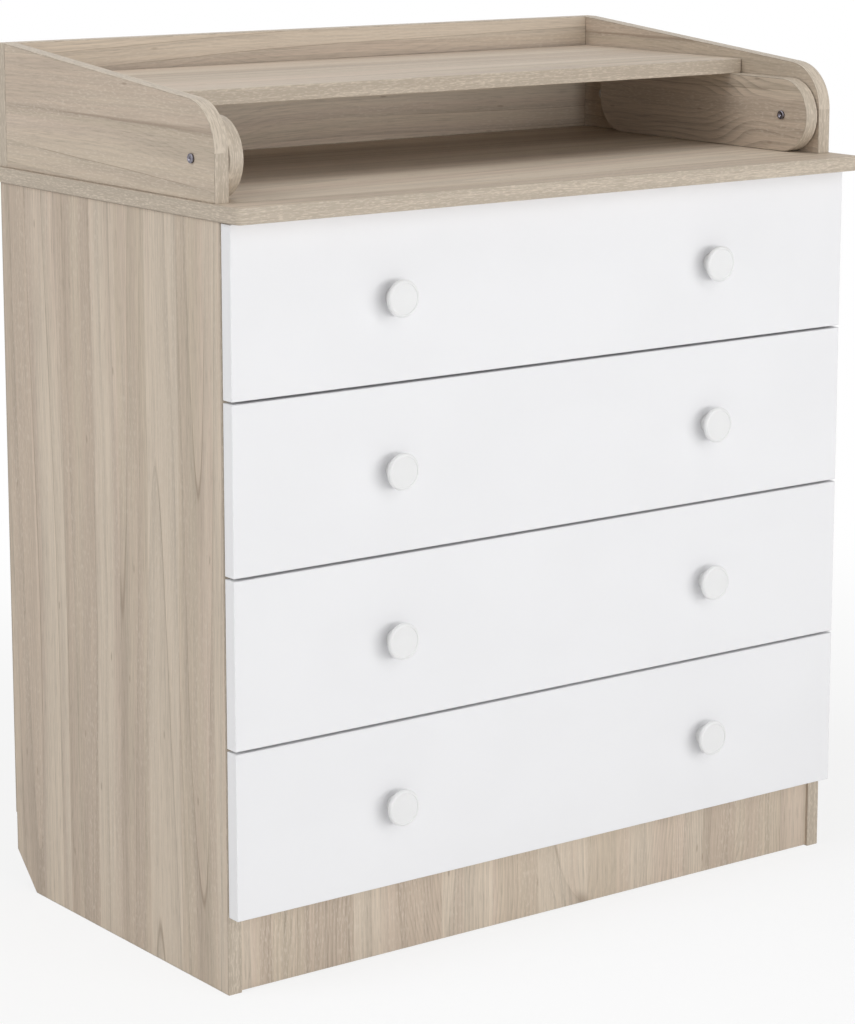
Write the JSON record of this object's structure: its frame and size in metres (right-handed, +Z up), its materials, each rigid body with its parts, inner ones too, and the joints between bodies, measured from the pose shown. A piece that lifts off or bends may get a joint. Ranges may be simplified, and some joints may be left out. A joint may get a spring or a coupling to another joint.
{
  "type": "changing dresser",
  "caption": "Low dresser with a stack of full-width drawers and a railed top whose changing board flips forward on two arms.",
  "frame": {"origin": "on the floor under the centre of the whole footprint", "axes": "+Z up, +X to the right as seen from the front, +Y to the rear, so the drawers open towards -Y"},
  "size_m": [0.806, 0.463, 0.92],
  "materials": {
    "oak_panel": "washed oak melamine with printed grain",
    "white_front": "smooth matt white melamine",
    "white_knob": "smooth white, satin gloss",
    "drawer_board": "white drawer board",
    "hardboard": "hardboard, grey-beige face",
    "white_steel": "white epoxy-coated sheet steel",
    "nylon": "natural nylon",
    "zinc": "zinc-plated steel",
    "bolt_steel": "nickel-plated steel",
    "washer_nylon": "dark grey nylon"
  },
  "bodies": {
    "root": {"side_panel_left": "oak_panel", "side_panel_right": "oak_panel", "bottom_panel": "oak_panel", "front_plinth": "oak_panel", "front_rail": "oak_panel", "back_sheet": "hardboard", "worktop": "oak_panel", "upper_side_left": "oak_panel", "upper_side_right": "oak_panel", "upper_back": "oak_panel", "cam_fittings": "zinc", "back_nails": "zinc", "rail_screws": "zinc", "pivot_bolts": "bolt_steel", "pivot_nuts": "bolt_steel", "pivot_washers": "washer_nylon", "cabinet_rails_1": "white_steel", "cabinet_rails_2": "white_steel", "cabinet_rails_3": "white_steel", "cabinet_rails_4": "white_steel"},
    "drawer_1": {"drawer_1_front": "white_front", "drawer_1_side_left": "drawer_board", "drawer_1_side_right": "drawer_board", "drawer_1_back": "drawer_board", "drawer_1_bottom": "hardboard", "drawer_1_knobs": "white_knob", "drawer_1_runners": "white_steel"},
    "drawer_1_rollers": {"drawer_1_rollers": "nylon"},
    "cabinet_rollers_1": {"cabinet_rollers_1": "nylon"},
    "drawer_2": {"drawer_2_front": "white_front", "drawer_2_side_left": "drawer_board", "drawer_2_side_right": "drawer_board", "drawer_2_back": "drawer_board", "drawer_2_bottom": "hardboard", "drawer_2_knobs": "white_knob", "drawer_2_runners": "white_steel"},
    "drawer_2_rollers": {"drawer_2_rollers": "nylon"},
    "cabinet_rollers_2": {"cabinet_rollers_2": "nylon"},
    "drawer_3": {"drawer_3_front": "white_front", "drawer_3_side_left": "drawer_board", "drawer_3_side_right": "drawer_board", "drawer_3_back": "drawer_board", "drawer_3_bottom": "hardboard", "drawer_3_knobs": "white_knob", "drawer_3_runners": "white_steel"},
    "drawer_3_rollers": {"drawer_3_rollers": "nylon"},
    "cabinet_rollers_3": {"cabinet_rollers_3": "nylon"},
    "drawer_4": {"drawer_4_front": "white_front", "drawer_4_side_left": "drawer_board", "drawer_4_side_right": "drawer_board", "drawer_4_back": "drawer_board", "drawer_4_bottom": "hardboard", "drawer_4_knobs": "white_knob", "drawer_4_runners": "white_steel"},
    "drawer_4_rollers": {"drawer_4_rollers": "nylon"},
    "cabinet_rollers_4": {"cabinet_rollers_4": "nylon"},
    "changer": {"changing_board": "oak_panel", "arm_left": "oak_panel", "arm_right": "oak_panel", "board_fittings": "zinc"}
  },
  "joints": [
    {"name": "drawer_1_slide", "type": "slide", "parent": "root", "child": "drawer_1", "axis": [0, -1, 0], "range_m": [0, 0.3]},
    {"name": "drawer_1_rollers_spin", "type": "hinge", "parent": "drawer_1", "child": "drawer_1_rollers", "pos_m": [0, 0.1855, 0.6379], "axis": [1, 0, 0], "continuous": true},
    {"name": "cabinet_rollers_1_spin", "type": "hinge", "parent": "root", "child": "cabinet_rollers_1", "pos_m": [0, -0.1805, 0.6379], "axis": [1, 0, 0], "continuous": true},
    {"name": "drawer_2_slide", "type": "slide", "parent": "root", "child": "drawer_2", "axis": [0, -1, 0], "range_m": [0, 0.3]},
    {"name": "drawer_2_rollers_spin", "type": "hinge", "parent": "drawer_2", "child": "drawer_2_rollers", "pos_m": [0, 0.1855, 0.4644], "axis": [1, 0, 0], "continuous": true},
    {"name": "cabinet_rollers_2_spin", "type": "hinge", "parent": "root", "child": "cabinet_rollers_2", "pos_m": [0, -0.1805, 0.4644], "axis": [1, 0, 0], "continuous": true},
    {"name": "drawer_3_slide", "type": "slide", "parent": "root", "child": "drawer_3", "axis": [0, -1, 0], "range_m": [0, 0.3]},
    {"name": "drawer_3_rollers_spin", "type": "hinge", "parent": "drawer_3", "child": "drawer_3_rollers", "pos_m": [0, 0.1855, 0.2909], "axis": [1, 0, 0], "continuous": true},
    {"name": "cabinet_rollers_3_spin", "type": "hinge", "parent": "root", "child": "cabinet_rollers_3", "pos_m": [0, -0.1805, 0.2909], "axis": [1, 0, 0], "continuous": true},
    {"name": "drawer_4_slide", "type": "slide", "parent": "root", "child": "drawer_4", "axis": [0, -1, 0], "range_m": [0, 0.3]},
    {"name": "drawer_4_rollers_spin", "type": "hinge", "parent": "drawer_4", "child": "drawer_4_rollers", "pos_m": [0, 0.1855, 0.1174], "axis": [1, 0, 0], "continuous": true},
    {"name": "cabinet_rollers_4_spin", "type": "hinge", "parent": "root", "child": "cabinet_rollers_4", "pos_m": [0, -0.1805, 0.1174], "axis": [1, 0, 0], "continuous": true},
    {"name": "changing_board_flip", "type": "hinge", "parent": "root", "child": "changer", "pos_m": [0, -0.1465, 0.8303], "axis": [1, 0, 0], "range_deg": [0, 180]}
  ],
  "couplings": [
    {"joint": "drawer_1_rollers_spin", "follows": "drawer_1_slide", "rad_per_m": 125},
    {"joint": "cabinet_rollers_1_spin", "follows": "drawer_1_slide", "rad_per_m": 125},
    {"joint": "drawer_2_rollers_spin", "follows": "drawer_2_slide", "rad_per_m": 125},
    {"joint": "cabinet_rollers_2_spin", "follows": "drawer_2_slide", "rad_per_m": 125},
    {"joint": "drawer_3_rollers_spin", "follows": "drawer_3_slide", "rad_per_m": 125},
    {"joint": "cabinet_rollers_3_spin", "follows": "drawer_3_slide", "rad_per_m": 125},
    {"joint": "drawer_4_rollers_spin", "follows": "drawer_4_slide", "rad_per_m": 125},
    {"joint": "cabinet_rollers_4_spin", "follows": "drawer_4_slide", "rad_per_m": 125}
  ]
}
